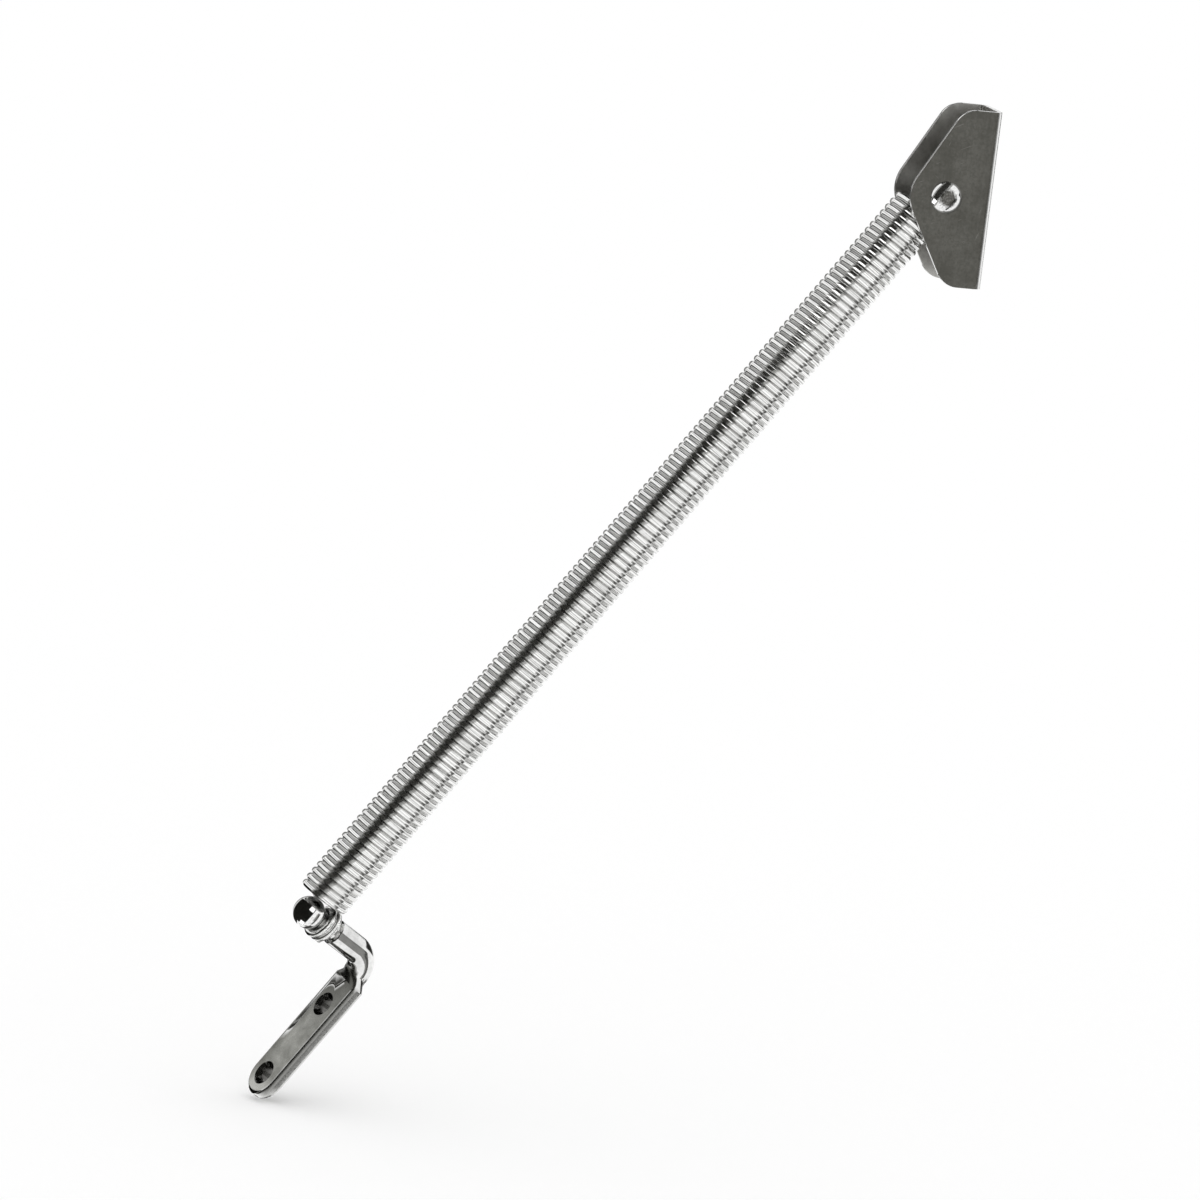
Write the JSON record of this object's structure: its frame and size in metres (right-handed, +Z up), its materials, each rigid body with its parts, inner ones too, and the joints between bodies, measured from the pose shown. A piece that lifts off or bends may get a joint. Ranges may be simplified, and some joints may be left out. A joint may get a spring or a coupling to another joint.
{
  "type": "hatch spring",
  "caption": "Close-wound wire spring that holds a hatch open, with a riveted folded bracket at one end and a bent, screw-on foot with a ball at the other.",
  "frame": {"origin": "midway between the bracket's two screw holes, on its mounting face", "axes": "+X out of the mounting face, away from the bracket; +Z up along the bracket; +Y from the domed rivet head to the rivet's tail"},
  "size_m": [0.146, 0.0213, 0.245],
  "materials": {
    "bracket": "satin stainless sheet with fine rolling marks",
    "rivet": "polished stainless",
    "spring": "polished stainless wire",
    "foot": "satin stainless, tumbled",
    "ball": "mirror polished stainless"
  },
  "bodies": {
    "bracket_body": {"bracket": "bracket", "bracket_rivet": "rivet"},
    "upper_spring": {"spring_upper_eye": "spring", "spring_coil": "spring"},
    "lower_spring": {"spring_lower_eye": "spring"},
    "foot_body": {"foot_rod": "foot", "retaining_ball": "ball"}
  },
  "joints": [
    {"name": "bracket_pivot", "type": "hinge", "parent": "bracket_body", "child": "upper_spring", "pos_m": [-0.0111, 0, 0], "axis": [0, 1, 0], "range_deg": [-35, 145]},
    {"name": "spring_bend", "type": "hinge", "parent": "upper_spring", "child": "lower_spring", "pos_m": [-0.07444, 0, -0.08871], "axis": [0, 1, 0], "range_deg": [-60, 60], "stiffness_Nm_per_rad": 0.6, "deforming": ["spring_coil"]},
    {"name": "foot_swivel", "type": "hinge", "parent": "lower_spring", "child": "foot_body", "pos_m": [-0.13753, 0, -0.17882], "axis": [-0.7834, -0.2924, 0.5485], "continuous": true}
  ]
}
